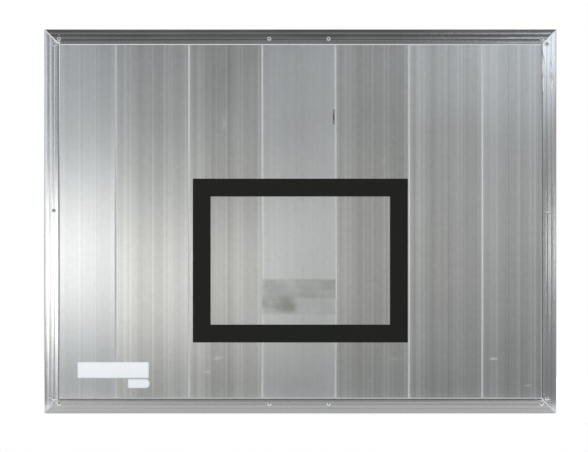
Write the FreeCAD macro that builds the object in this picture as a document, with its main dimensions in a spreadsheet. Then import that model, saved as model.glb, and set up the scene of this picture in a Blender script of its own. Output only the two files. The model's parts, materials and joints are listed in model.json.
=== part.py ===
import FreeCAD, Part
import math
import os
import re
import Sketcher

# Basketball practice backboard of hollow aluminium planks in a mitred edging frame.
# X runs to the right along the board, Z is up, and the playing face looks along -Y.
# The origin is the middle of the four mounting threads, on the plane that a bracket bolts to.

# The sketcher's numbers for the ends and centre of a curve, and for a sketch's own axes
START, END, CENTRE = range(1, 4)
Y_AXIS, X_AXIS = range(-2, 0)

# Driving dimensions, in millimetres, apart from the counts
SIZES = {
    # whole board
    "board_width": 1200,
    "board_height": 900,
    # planks: hollow extrusions with a nose on the left edge and a socket on the right one
    "plank_count": 7,
    "plank_depth": 25,
    "plank_skin": 2,
    "plank_web": 1.5,
    "plank_end_gap": 0.3,
    "first_rip": 6.6,
    "joint_gap": 0.2,
    "joint_width": 2.5,
    "joint_drop": 0.9,
    "socket_depth": 7,
    "nose_gap": 0.4,
    "nose_slip": 0.2,
    "nose_bevel": 1,
    "web_clearance": 7.5,
    # edging frame: a channel with reeded legs that thicken toward bevelled lips
    "frame_wall": 2,
    "frame_leg": 36.5,
    "frame_edge_radius": 2,
    "frame_slip": 0.1,
    "side_gap": 0.3,
    "reed_count": 3,
    "reed_rise": 0.1,
    "leg_rise": 1.4,
    "lip_width": 3.5,
    "lip_edge": 2,
    "lip_groove": 1.2,
    "lip_groove_depth": 0.8,
    "mitre_gap": 0.2,
    # blind rivets
    "rivet_radius": 2.4,
    "rivet_slip": 0.05,
    "rivet_head_radius": 4.8,
    "rivet_head_rise": 1.6,
    "rivet_head_rim": 0.3,
    "rivet_head_slip": 0.03,
    "rivet_crown_radius": 8.5,
    "rivet_bore_radius": 1.4,
    "rivet_bulb_radius": 3.6,
    "rivet_bulb_length": 3.5,
    "rivet_tail_length": 2,
    "pin_slip": 0.03,
    "pin_recess": 0.7,
    "pin_head_radius": 2.2,
    "pin_head_length": 1.8,
    "corner_rivet_step": 12.3,
    "centre_rivet_clearance": 4.4,
    "side_rivet_rise": 25,
    # target rectangle of adhesive film
    "target_width": 504,
    "target_height": 384,
    "target_line": 42,
    "target_lift": 166,
    "film_thickness": 0.2,
    # mounting rails of hat section across the back, and their threaded inserts
    "rail_height": 20,
    "rail_crown": 44,
    "rail_flange": 22,
    "rail_wall": 3,
    "rail_edge_radius": 2.5,
    "rail_end_gap": 10,
    "rail_inset": 150,
    "nut_reach": 300,
    "nut_radius": 6.5,
    "nut_slip": 0.05,
    "nut_bore_radius": 4.25,
    "nut_flange": 1.5,
    "nut_flange_radius": 9.5,
    "nut_bulb_radius": 8.5,
    "nut_bulb_length": 4,
    "nut_length": 15,
    # how far a cut runs past what it cuts
    "overrun": 5,
}

doc = FreeCAD.newDocument("Backboard")
sheet = doc.addObject("Spreadsheet::Sheet", "Sizes")
for row, (alias, number) in enumerate(SIZES.items(), start=1):
    sheet.set(f"A{row}", alias)
    sheet.set(f"B{row}", str(number))
    sheet.setAlias(f"B{row}", alias)
doc.recompute()


def expand(text):
    """Return an expression with every bare alias replaced by its reference to the sheet."""
    return re.sub(r"[a-z_]+", lambda word: f"Sizes.{word[0]}" if word[0] in SIZES else word[0], text)


# Places worked out from the driving dimensions, as expressions
HALF_WIDTH = "(board_width / 2)"
HALF_HEIGHT = "(board_height / 2)"
HALF_PLANK = "(plank_depth / 2)"
MID_PLANE = f"(-({HALF_PLANK} + rail_height + nut_flange))"
COVER = "((board_width - 2 * (frame_wall + side_gap) + first_rip) / plank_count)"
FIRST_JOINT = f"(-{HALF_WIDTH} + frame_wall + side_gap - first_rip)"
PLANK_LENGTH = "(board_height - 2 * (frame_wall + plank_end_gap))"
JOINT_RADIUS = "((joint_width * joint_width + joint_drop * joint_drop) / (2 * joint_drop))"
LEG_INSIDE = f"({HALF_PLANK} + frame_slip)"
REED_PITCH = "((frame_leg - frame_edge_radius - lip_width) / reed_count)"
REED_RADIUS = f"(({REED_PITCH} * {REED_PITCH} / 4 + reed_rise * reed_rise) / (2 * reed_rise))"
RIVET_LINE = f"(frame_edge_radius + (reed_count - 1) * {REED_PITCH})"
CORNER_RUN = f"({RIVET_LINE} + corner_rivet_step)"
EDGE_WEB = (
    f"({CORNER_RUN} - frame_wall - side_gap + first_rip + rivet_bulb_radius + web_clearance)"
)
SOCKET_FLOOR = f"({COVER} - joint_gap - socket_depth)"
CENTRE_INSET = "(socket_depth + plank_web + rivet_bulb_radius + centre_rivet_clearance)"
LAST_CREST = f"({LEG_INSIDE} + frame_wall + leg_rise * (2 * reed_count - 1) / (2 * reed_count))"
RIVET_SEAT = f"({LAST_CREST} + rivet_head_slip)"
FRAME_GRIP = f"({RIVET_SEAT} - {HALF_PLANK} + plank_skin)"
RAIL_GRIP = "(rail_wall + plank_skin)"
RAIL_LIFT = f"({HALF_HEIGHT} - rail_inset)"


def negative(text):
    """Return the expression with its sign changed."""
    return f"(-{text})"


def mirrored(corners, axis):
    """Return corners in reverse order, reflected in their x (0) or y (1), with the arcs between them."""
    flipped = []
    for index in reversed(range(len(corners))):
        place = list(corners[index][:2])
        place[axis] = negative(place[axis])
        arc = corners[index - 1][2:] if index else ()
        flipped.append((*place, *arc))
    return flipped


def plane(body, role):
    """Return the body's own origin plane or axis with that role."""
    return next(item for item in body.Origin.OriginFeatures if item.Role == role)


def new_body(label, x="0", z="0"):
    """Start a sub-part whose local Y is measured from the middle of the plank depth."""
    body = doc.addObject("PartDesign::Body", label)
    body.Label = label
    body.setExpression("Placement.Base.x", expand(x))
    body.setExpression("Placement.Base.y", expand(MID_PLANE))
    body.setExpression("Placement.Base.z", expand(z))
    return body


def new_sketch(body, name, role, x="0", z="0"):
    """Attach a sketch to one of the body's origin planes, moved in that plane's X and along its normal."""
    sketch = body.newObject("Sketcher::SketchObject", f"{body.Name}_{name}")
    sketch.AttachmentSupport = [(plane(body, role), "")]
    sketch.MapMode = "FlatFace"
    sketch.setExpression("AttachmentOffset.Base.x", expand(x))
    sketch.setExpression("AttachmentOffset.Base.z", expand(z))
    return sketch


def number_of(sketch, text):
    """Return the present value of an expression."""
    return float(sketch.evalExpression(expand(text)))


def arc_side(start, end, radius, bow):
    """Return the arc between two corners that bows to the left (1) or right (-1) of its run."""
    chord = end - start
    left = FreeCAD.Vector(-chord.y, chord.x, 0).normalize()
    reach = math.sqrt(max(radius ** 2 - (chord.Length / 2) ** 2, 0))
    centre = (start + end) / 2 - left * bow * reach
    first, last = (start, end) if bow < 0 else (end, start)
    angles = [math.atan2(point.y - centre.y, point.x - centre.x) for point in (first, last)]
    circle = Part.Circle(centre, FreeCAD.Vector(0, 0, 1), radius)
    return Part.ArcOfCircle(circle, *angles)


def place_rules(sketch, geometry, point, x, y):
    """Return the constraints that hold a point of a curve at (x, y), and the expressions that bind them."""
    rules = []
    bound = []
    for kind, axis, text in (("DistanceX", Y_AXIS, x), ("DistanceY", X_AXIS, y)):
        if text == "0":
            rules.append(Sketcher.Constraint("PointOnObject", geometry, point, axis))
        else:
            bound.append((len(rules), text))
            value = number_of(sketch, text)
            rules.append(Sketcher.Constraint(kind, X_AXIS, START, geometry, point, value))
    return rules, bound


def radius_rules(sketch, geometry, radius):
    """Return the constraint on an arc's or circle's radius, and the expression that binds it."""
    return [Sketcher.Constraint("Radius", geometry, number_of(sketch, radius))], [(0, radius)]


def outline(sketch, corners):
    """Draw a closed outline whose corners and arc radii are bound to expressions.

    A corner is (x, y), or (x, y, radius, bow) where an arc runs from it to the next corner.
    """
    points = [FreeCAD.Vector(number_of(sketch, c[0]), number_of(sketch, c[1]), 0) for c in corners]
    base = sketch.GeometryCount
    ends = []
    for index, corner in enumerate(corners):
        start, end = points[index], points[(index + 1) % len(points)]
        if len(corner) == 2:
            sketch.addGeometry(Part.LineSegment(start, end))
            ends.append((START, END))
        else:
            radius, bow = number_of(sketch, corner[2]), corner[3]
            sketch.addGeometry(arc_side(start, end, radius, bow))
            ends.append((START, END) if bow < 0 else (END, START))
    for index in range(len(corners)):
        follower = (index + 1) % len(corners)
        joint = (base + index, ends[index][1], base + follower, ends[follower][0])
        sketch.addConstraint(Sketcher.Constraint("Coincident", *joint))
    for index, corner in enumerate(corners):
        add_rules(sketch, *place_rules(sketch, base + index, ends[index][0], *corner[:2]))
        if len(corner) > 2:
            add_rules(sketch, *radius_rules(sketch, base + index, corner[2]))


def round_hole(sketch, x, y, radius):
    """Draw a circle whose centre and radius are bound to expressions."""
    centre = FreeCAD.Vector(number_of(sketch, x), number_of(sketch, y), 0)
    index = sketch.addGeometry(Part.Circle(centre, FreeCAD.Vector(0, 0, 1), number_of(sketch, radius)))
    add_rules(sketch, *place_rules(sketch, index, CENTRE, x, y))
    add_rules(sketch, *radius_rules(sketch, index, radius))


def add_rules(sketch, rules, bound):
    """Add constraints to a sketch and bind the dimensions among them."""
    first = sketch.ConstraintCount
    sketch.addConstraint(rules)
    for offset, text in bound:
        sketch.setExpression(f"Constraints[{first + offset}]", expand(text))


def pad_through(body, sketch, length):
    """Extrude a section both ways from its plane."""
    pad = body.newObject("PartDesign::Pad", f"{body.Name}_pad")
    pad.Profile = sketch
    pad.SideType = "Symmetric"
    pad.setExpression("Length", expand(length))


def settled_volume(body):
    """Recompute and return the body's volume."""
    doc.recompute()
    return body.Shape.Volume


def cut(body, sketch, depth=None):
    """Cut a sketch right through the body, or to a depth behind its plane."""
    before = settled_volume(body)
    pocket = body.newObject("PartDesign::Pocket", f"{sketch.Name}_cut")
    pocket.Profile = sketch
    if depth:
        pocket.setExpression("Length", expand(depth))
    else:
        pocket.SideType = "Symmetric"
        pocket.Type = "ThroughAll"
    if settled_volume(body) >= before:
        raise RuntimeError(f"{sketch.Name} cuts nothing")


# Rivet seats on the frame, as places on the board
TOP_CORNER_SEAT = (f"({HALF_WIDTH} - {CORNER_RUN})", f"({HALF_HEIGHT} - {RIVET_LINE})")
SIDE_CORNER_SEAT = (f"({HALF_WIDTH} - {RIVET_LINE})", f"({HALF_HEIGHT} - {CORNER_RUN})")
MIDDLE_PLANK = (SIZES["plank_count"] + 1) // 2
MIDDLE_JOINT = f"({FIRST_JOINT} + {MIDDLE_PLANK - 1} * {COVER})"
CENTRE_SEATS_X = (
    f"({MIDDLE_JOINT} + {CENTRE_INSET})",
    f"({MIDDLE_JOINT} + {COVER} - {CENTRE_INSET})",
)
CENTRE_SEAT_Z = TOP_CORNER_SEAT[1]
SIDE_SEAT = (SIDE_CORNER_SEAT[0], "side_rivet_rise")
RIVET_HOLE = "(rivet_radius + rivet_slip)"

# Rivet rows of a rail, inside the two inner chambers of every plank
INNER_CHAMBER_LEFT = f"(({EDGE_WEB} + {COVER} / 2) / 2)"
INNER_CHAMBER_RIGHT = f"({COVER} - {INNER_CHAMBER_LEFT})"
RAIL_ROW = "((rail_crown + rail_flange) / 2)"
RAIL_ROWS = ((INNER_CHAMBER_LEFT, RAIL_ROW), (INNER_CHAMBER_RIGHT, f"(-{RAIL_ROW})"))
RAIL_PLACES = {"rail_upper": RAIL_LIFT, "rail_lower": f"(-{RAIL_LIFT})"}


def plank_section(body):
    """Draw a plank's section: round-edged skins, a nose at the left, a socket at the right, four chambers."""
    sketch = new_sketch(body, "section", "XY_Plane")
    right = f"({COVER} - joint_gap)"
    inner = f"({HALF_PLANK} - plank_skin)"
    shoulder = f"({HALF_PLANK} - joint_drop)"
    nose = f"({inner} - nose_slip)"
    tip = "(nose_gap - socket_depth)"
    half = [
        (tip, f"({nose} - nose_bevel)"),
        (f"({tip} + nose_bevel)", nose),
        ("0", nose),
        ("0", shoulder, JOINT_RADIUS, 1),
        ("joint_width", HALF_PLANK),
        (f"({right} - joint_width)", HALF_PLANK, JOINT_RADIUS, 1),
        (right, shoulder),
        (right, inner),
        (SOCKET_FLOOR, inner),
    ]
    outline(sketch, half + mirrored(half, 1))

    throat = f"({nose} - plank_skin)"
    nose_half = [
        (f"({tip} + plank_web)", throat),
        ("plank_skin", throat),
        ("plank_skin", inner),
        (f"({EDGE_WEB} - plank_web / 2)", inner),
    ]
    outline(sketch, nose_half + mirrored(nose_half, 1))

    webs = (EDGE_WEB, f"({COVER} / 2)", f"({COVER} - {EDGE_WEB})")
    ends = [f"({web} - plank_web / 2)" for web in webs[1:]]
    ends.append(f"({SOCKET_FLOOR} - plank_web)")
    for web, end in zip(webs, ends):
        start = f"({web} + plank_web / 2)"
        outline(sketch, [(start, negative(inner)), (end, negative(inner)), (end, inner), (start, inner)])
    return sketch


def frame_seats_on(number):
    """Return the frame rivet seats that fall on one plank, as places on the board."""
    seats = []
    last = SIZES["plank_count"]
    if number in (1, last):
        for x, z in (TOP_CORNER_SEAT, SIDE_CORNER_SEAT):
            seats += [(x, z), (x, negative(z))]
        seats.append(SIDE_SEAT)
        if number == 1:
            seats = [(negative(x), z) for x, z in seats]
    if number == MIDDLE_PLANK:
        for x in CENTRE_SEATS_X:
            seats += [(x, CENTRE_SEAT_Z), (x, negative(CENTRE_SEAT_Z))]
    return seats


def make_plank(number):
    """Make one plank, with its rivet holes, and rip the first one to fit the frame."""
    joint = f"({FIRST_JOINT} + {number - 1} * {COVER})"
    body = new_body(f"plank_{number}", x=joint)
    pad_through(body, plank_section(body), PLANK_LENGTH)
    if number == 1:
        rip = new_sketch(body, "rip", "XY_Plane")
        left, deep = "(-socket_depth - overrun)", f"({HALF_PLANK} + overrun)"
        corners = [(left, negative(deep)), ("first_rip", negative(deep)), ("first_rip", deep), (left, deep)]
        outline(rip, corners)
        cut(body, rip)
    seats = frame_seats_on(number)
    if seats:
        holes = new_sketch(body, "frame_holes", "XZ_Plane")
        for x, z in seats:
            round_hole(holes, f"({x} - {joint})", z, RIVET_HOLE)
        cut(body, holes)
    holes = new_sketch(body, "rail_holes", "XZ_Plane")
    for lift in RAIL_PLACES.values():
        for x, row in RAIL_ROWS:
            round_hole(holes, x, f"({lift} + {row})", RIVET_HOLE)
    cut(body, holes, f"({HALF_PLANK} + overrun)")
    return body


def leg_profile(across):
    """Return the corners of one channel leg from its outer edge to the inner web.

    The reeds climb toward the lip, so that the face of the leg leans outward, and a groove parts them from it.
    """
    outer_face = f"({LEG_INSIDE} + frame_wall)"
    corners = [(f"({outer_face} - frame_edge_radius)", across, "frame_edge_radius", 1)]
    for reed in range(SIZES["reed_count"] + 1):
        valley = f"({outer_face} - reed_rise + leg_rise * {reed} / reed_count)"
        place = f"({across} - frame_edge_radius - {reed} * {REED_PITCH})"
        corners.append((valley, place, REED_RADIUS, 1))
    crest, lip_start = corners.pop()[:2]
    lip_end = f"({across} - frame_leg)"
    corners.append((crest, lip_start))
    corners.append((f"({crest} - lip_groove_depth)", f"({lip_start} - lip_groove / 2)"))
    corners.append((crest, f"({lip_start} - lip_groove)"))
    corners.append((f"({LEG_INSIDE} + lip_edge)", lip_end))
    corners.append((LEG_INSIDE, lip_end))
    corners.append((LEG_INSIDE, f"({across} - frame_wall)"))
    return corners


def make_frame_member(label, run, across, turn, seats):
    """Make one mitred channel, drawn as the top member and turned about Y to its side of the board."""
    body = new_body(label)
    body.Placement.Rotation = FreeCAD.Rotation(FreeCAD.Vector(0, 1, 0), turn)
    section = new_sketch(body, "section", "YZ_Plane")
    leg = leg_profile(across)
    outline(section, leg + mirrored(leg, 0))
    pad_through(body, section, f"(2 * {run})")

    mitre = new_sketch(body, "mitre", "XZ_Plane")
    outer = f"({run} + overrun)"
    high = f"({across} + overrun + mitre_gap)"
    low = f"({across} - frame_leg - overrun)"
    inner = f"({run} - frame_leg - overrun - mitre_gap)"
    outline(mitre, [(outer, high), (inner, low), (outer, low)])
    outline(mitre, [(negative(outer), high), (negative(inner), low), (negative(outer), low)])
    cut(body, mitre)

    holes = new_sketch(body, "holes", "XZ_Plane")
    for x, z in seats:
        round_hole(holes, x, z, RIVET_HOLE)
    cut(body, holes)
    return body


def make_frame():
    """Make the four channels with the holes of the rivets that pass through them."""
    corner_x, corner_z = TOP_CORNER_SEAT
    corners = [(corner_x, corner_z), (negative(corner_x), corner_z)]
    centres = [(x, CENTRE_SEAT_Z) for x in CENTRE_SEATS_X]
    turned = [(negative(x), CENTRE_SEAT_Z) for x in CENTRE_SEATS_X]
    side_x, side_z = SIDE_CORNER_SEAT
    ends = [(side_z, side_x), (negative(side_z), side_x)]
    rise = SIDE_SEAT[1]
    return [
        make_frame_member("frame_top", HALF_WIDTH, HALF_HEIGHT, 0, corners + centres),
        make_frame_member("frame_bottom", HALF_WIDTH, HALF_HEIGHT, 180, corners + turned),
        make_frame_member("frame_right", HALF_HEIGHT, HALF_WIDTH, 90, ends + [(negative(rise), side_x)]),
        make_frame_member("frame_left", HALF_HEIGHT, HALF_WIDTH, -90, ends + [(rise, side_x)]),
    ]


def make_target():
    """Make the four strips of film that frame the target, laid on the playing face."""
    bottom = f"(target_lift - {HALF_HEIGHT})"
    middle = f"({bottom} + target_height / 2)"
    reach_x = "((target_width - target_line) / 2)"
    reach_z = "((target_height - target_line) / 2)"
    upright = "(target_height - 2 * target_line)"
    strips = {
        "target_top": ("0", f"({middle} + {reach_z})", "target_width", "target_line"),
        "target_bottom": ("0", f"({middle} - {reach_z})", "target_width", "target_line"),
        "target_left": (negative(reach_x), middle, "target_line", upright),
        "target_right": (reach_x, middle, "target_line", upright),
    }
    bodies = []
    for label, (x, z, wide, high) in strips.items():
        body = new_body(label, x=x, z=z)
        sketch = new_sketch(body, "strip", "XZ_Plane", z=HALF_PLANK)
        x_end, z_end = f"({wide} / 2)", f"({high} / 2)"
        low = [(negative(x_end), negative(z_end)), (x_end, negative(z_end))]
        outline(sketch, low + [(x_end, z_end), (negative(x_end), z_end)])
        pad = body.newObject("PartDesign::Pad", f"{label}_pad")
        pad.Profile = sketch
        pad.setExpression("Length", expand("film_thickness"))
        bodies.append(body)
    return bodies


def rivet_outline(seat, grip):
    """Return the half section of a set rivet, from its domed head to the bulb behind the grip."""
    bulb_start = f"({seat} + {grip})"
    bulb_end = f"({bulb_start} + rivet_bulb_length)"
    tail = f"({bulb_end} + rivet_tail_length)"
    return [
        ("rivet_bore_radius", f"({seat} - rivet_head_rise)", "rivet_crown_radius", -1),
        ("rivet_head_radius", f"({seat} - rivet_head_rim)"),
        ("rivet_head_radius", seat),
        ("rivet_radius", seat),
        ("rivet_radius", bulb_start),
        ("rivet_bulb_radius", bulb_start),
        ("rivet_bulb_radius", bulb_end),
        ("rivet_radius", tail),
        ("rivet_bore_radius", tail),
    ]


def pin_outline(seat, grip):
    """Return the half section of the pin left in a set rivet: a broken stem and a head at the tail."""
    stem = "(rivet_bore_radius - pin_slip)"
    tail = f"({seat} + {grip} + rivet_bulb_length + rivet_tail_length)"
    end = f"({tail} + pin_head_length)"
    return [
        ("0", f"({seat} - rivet_head_rise + pin_recess)"),
        (stem, f"({seat} - rivet_head_rise + pin_recess)"),
        (stem, tail),
        ("pin_head_radius", tail),
        ("pin_head_radius", end),
        ("0", end),
    ]


def turn_at(body, name, corners, x, z):
    """Turn a half section about a Y axis through a place on the board."""
    sketch = new_sketch(body, name, "XY_Plane", x=x, z=z)
    outline(sketch, corners)
    revolution = body.newObject("PartDesign::Revolution", f"{body.Name}_{name}_turned")
    revolution.Profile = sketch
    revolution.ReferenceAxis = (sketch, ["V_Axis"])
    doc.recompute()


def mirror_all(body, roles):
    """Repeat everything in the body across its origin planes, one after the other."""
    for role in roles:
        mirror = body.newObject("PartDesign::Mirrored", f"{body.Name}_{role}")
        mirror.TransformMode = "Whole shape"
        mirror.MirrorPlane = (plane(body, role), [""])
        body.Tip = mirror
        doc.recompute()


def repeat_along_x(body, count, pitch):
    """Repeat everything in the body along X."""
    row = body.newObject("PartDesign::LinearPattern", f"{body.Name}_row")
    row.TransformMode = "Whole shape"
    row.Direction = (plane(body, "X_Axis"), [""])
    row.Mode = "Spacing"
    row.setExpression("Offset", expand(pitch))
    row.setExpression("Occurrences", expand(count))
    body.Tip = row
    doc.recompute()


def make_frame_rivets(suffix, half_section):
    """Make the rivets of the frame, or their pins: at the corners, at mid width and at mid height."""
    corners = half_section(negative(RIVET_SEAT), FRAME_GRIP)
    at_corners = new_body(f"corner_{suffix}")
    turn_at(at_corners, "top_leg", corners, *TOP_CORNER_SEAT)
    turn_at(at_corners, "side_leg", corners, *SIDE_CORNER_SEAT)
    mirror_all(at_corners, ("YZ_Plane", "XY_Plane", "XZ_Plane"))

    at_centre = new_body(f"centre_{suffix}")
    for name, x in zip(("left", "right"), CENTRE_SEATS_X):
        turn_at(at_centre, name, corners, x, CENTRE_SEAT_Z)
    mirror_all(at_centre, ("XY_Plane", "XZ_Plane"))

    at_sides = new_body(f"side_{suffix}")
    turn_at(at_sides, "side", corners, *SIDE_SEAT)
    mirror_all(at_sides, ("YZ_Plane", "XZ_Plane"))
    return [at_corners, at_centre, at_sides]


def make_rail(label, lift):
    """Make one hat-section rail with its rivet holes and the two holes for the threaded inserts."""
    body = new_body(label, z=lift)
    section = new_sketch(body, "section", "YZ_Plane")
    base, shelf = HALF_PLANK, f"({HALF_PLANK} + rail_wall)"
    crown = f"({HALF_PLANK} + rail_height)"
    roof = f"({crown} - rail_wall)"
    toe, side = "(rail_crown / 2 + rail_flange)", "(rail_crown / 2)"
    inside = "(rail_crown / 2 - rail_wall)"
    half = [
        (roof, inside),
        (base, inside),
        (base, toe),
        (shelf, toe),
        (shelf, side),
        (f"({crown} - rail_edge_radius)", side, "rail_edge_radius", 1),
        (crown, f"({side} - rail_edge_radius)"),
    ]
    outline(section, half + mirrored(half, 1))
    pad_through(body, section, "(board_width - 2 * (frame_leg + rail_end_gap))")

    holes = new_sketch(body, "holes", "XZ_Plane")
    for number in range(SIZES["plank_count"]):
        for x, row in RAIL_ROWS:
            round_hole(holes, f"({FIRST_JOINT} + {number} * {COVER} + {x})", row, RIVET_HOLE)
    for reach in ("nut_reach", negative("nut_reach")):
        round_hole(holes, reach, "0", "(nut_radius + nut_slip)")
    cut(body, holes)
    return body


def rear_half_section(half_section):
    """Return a rail rivet's or pin's half section, facing the rear of the board."""
    seat = negative(f"({HALF_PLANK} + rail_wall)")
    corners = []
    for corner in half_section(seat, RAIL_GRIP):
        turned = (corner[0], negative(corner[1]))
        corners.append(turned if len(corner) == 2 else turned + (corner[2], -corner[3]))
    return corners


def make_rail_rivets(label, lift, half_section):
    """Make a rail's rivets, or their pins: one in each flange on every plank."""
    body = new_body(label)
    corners = rear_half_section(half_section)
    for name, (x, row) in zip(("high", "low"), RAIL_ROWS):
        turn_at(body, name, corners, f"({FIRST_JOINT} + {x})", f"({lift} + {row})")
    repeat_along_x(body, "plank_count", COVER)
    return body


def make_rail_nuts():
    """Make the four threaded inserts: a flange behind the rail, a barrel through it, a bulb inside."""
    body = new_body("rail_nuts")
    seat = f"({HALF_PLANK} + rail_height)"
    roof = f"({seat} - rail_wall)"
    face = f"({seat} + nut_flange)"
    end = f"({face} - nut_length)"
    corners = [
        ("nut_bore_radius", end),
        ("nut_radius", end),
        ("nut_radius", f"({roof} - nut_bulb_length)"),
        ("nut_bulb_radius", roof),
        ("nut_radius", roof),
        ("nut_radius", seat),
        ("nut_flange_radius", seat),
        ("nut_flange_radius", face),
        ("nut_bore_radius", face),
    ]
    turn_at(body, "insert", corners, "nut_reach", RAIL_LIFT)
    mirror_all(body, ("YZ_Plane", "XY_Plane"))
    return body


def make_all():
    """Make every sub-part."""
    bodies = [make_plank(number) for number in range(1, SIZES["plank_count"] + 1)]
    bodies += make_frame()
    bodies += make_target()
    bodies += make_frame_rivets("rivets", rivet_outline)
    bodies += make_frame_rivets("rivet_pins", pin_outline)
    for label, lift in RAIL_PLACES.items():
        bodies.append(make_rail(label, lift))
        bodies.append(make_rail_rivets(f"{label}_rivets", lift, rivet_outline))
        bodies.append(make_rail_rivets(f"{label}_rivet_pins", lift, pin_outline))
    bodies.append(make_rail_nuts())
    return bodies


def check(bodies):
    """Stop if any object failed or any sub-part has no valid solid."""
    doc.recompute()
    for item in doc.Objects:
        if "Invalid" in item.State or "Error" in item.State:
            raise RuntimeError(f"{item.Name} failed: {item.State}")
    for body in bodies:
        if body.Shape.isNull() or not body.Shape.isValid() or not body.Shape.Solids:
            raise RuntimeError(f"{body.Label} has no valid solid")


sub_parts = make_all()
check(sub_parts)
os.makedirs("parts", exist_ok=True)
for sub_part in sub_parts:
    sub_part.Shape.exportStep(os.path.join("parts", f"{sub_part.Label}.step"))
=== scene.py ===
"""Looks of an all-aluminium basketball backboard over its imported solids, as a Blender add-on."""

import json
import math

import bmesh
import bpy
from bpy.props import FloatProperty, FloatVectorProperty, IntProperty, PointerProperty
from bpy.types import Node, NodeSocket, Operator, Panel, PropertyGroup, Scene
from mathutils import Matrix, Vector


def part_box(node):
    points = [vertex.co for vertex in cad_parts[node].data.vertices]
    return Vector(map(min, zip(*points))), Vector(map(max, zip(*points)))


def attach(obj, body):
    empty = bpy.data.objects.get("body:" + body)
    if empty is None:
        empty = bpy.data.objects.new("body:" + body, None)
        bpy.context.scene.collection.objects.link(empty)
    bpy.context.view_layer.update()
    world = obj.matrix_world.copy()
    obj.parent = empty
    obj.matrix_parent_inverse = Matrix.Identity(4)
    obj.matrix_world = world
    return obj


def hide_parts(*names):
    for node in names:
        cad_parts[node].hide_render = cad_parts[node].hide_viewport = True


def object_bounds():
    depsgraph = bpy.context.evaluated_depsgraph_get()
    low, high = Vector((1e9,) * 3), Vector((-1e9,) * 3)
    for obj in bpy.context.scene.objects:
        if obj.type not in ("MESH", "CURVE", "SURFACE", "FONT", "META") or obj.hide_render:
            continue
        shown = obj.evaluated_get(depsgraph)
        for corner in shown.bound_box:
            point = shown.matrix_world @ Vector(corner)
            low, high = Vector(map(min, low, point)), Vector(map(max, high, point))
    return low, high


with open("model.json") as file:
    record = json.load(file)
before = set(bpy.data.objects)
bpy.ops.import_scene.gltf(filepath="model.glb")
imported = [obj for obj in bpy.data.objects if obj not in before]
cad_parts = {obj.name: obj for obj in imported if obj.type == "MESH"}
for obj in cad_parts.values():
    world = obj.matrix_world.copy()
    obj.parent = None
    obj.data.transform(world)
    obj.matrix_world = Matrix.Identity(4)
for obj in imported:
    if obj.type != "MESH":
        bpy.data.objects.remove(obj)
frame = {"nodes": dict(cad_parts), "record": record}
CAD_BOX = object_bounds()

bl_info = {
    "name": "Basketball backboard looks",
    "version": (1, 0, 0),
    "blender": (4, 5, 0),
    "location": "3D View > Sidebar > Backboard",
    "description": "Finishes and small pieces of an aluminium basketball backboard",
    "category": "Object",
}

MM = 1000  # millimetres in a metre
ACROSS, UPRIGHT = 0, 2  # axes that aluminium was extruded along

# Groups of solids, by what they are made of
PLANKS = sorted(name for name in frame["nodes"] if name.startswith("plank_"))
STRIPS = ("target_top", "target_bottom", "target_left", "target_right")
RAILS = ("rail_upper", "rail_lower")
RIVETS = sorted(name for name in frame["nodes"] if name.endswith("rivets"))
PINS = sorted(name for name in frame["nodes"] if name.endswith("rivet_pins"))

# Finishes of the edging: the solids, their axis and how light they are; the bottom edging is
# painted darker than the top, as painted shade against the bright floor that it mirrors
EDGING = {
    "mill_finish_frame_top": (("frame_top",), ACROSS, 0.62),
    "mill_finish_frame_bottom": (("frame_bottom",), ACROSS, -0.3),
    "mill_finish_edging_upright": (("frame_left", "frame_right"), UPRIGHT, 0.58),
}
RAIL_TONE = 0.58

# Planes and widths that pieces are placed by, in metres
PLAYING_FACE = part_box("plank_2")[0].y
EDGING_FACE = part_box("frame_right")[0].y
EDGING_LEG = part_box("frame_top")[1].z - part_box("frame_top")[0].z
PLANK_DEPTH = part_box("plank_2")[1].y - PLAYING_FACE
BOTTOM_EDGE = CAD_BOX[0].z
RIGHT_EDGES = [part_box(name)[1].x for name in PLANKS]
PLANK_COVER = RIGHT_EDGES[1] - RIGHT_EDGES[0]
JOINTS = [edge - PLANK_COVER for edge in RIGHT_EDGES]


def linear(code):
    """Return the linear colour, with full alpha, of an sRGB hex code."""
    channels = [int(code[place:place + 2], 16) / 255 for place in (1, 3, 5)]
    straight = [c / 12.92 if c <= 0.04045 else ((c + 0.055) / 1.055) ** 2.4 for c in channels]
    return (*straight, 1.0)


def as_colour(name, description, code):
    """Return a colour property whose default is an sRGB hex code."""
    kind = {"size": 4, "min": 0, "max": 1, "subtype": "COLOR"}
    return FloatVectorProperty(name=name, description=description, default=linear(code), **kind)


def as_mm(name, description, size):
    """Return a length property whose default is given in millimetres."""
    return FloatProperty(name=name, description=description, default=size / MM, unit="LENGTH")


def as_share(name, description, share):
    """Return a property between nought and one."""
    kind = {"min": 0, "max": 1, "subtype": "FACTOR"}
    return FloatProperty(name=name, description=description, default=share, **kind)


# Patterns too fine to show in a render are drawn coarser, as their descriptions say


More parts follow.
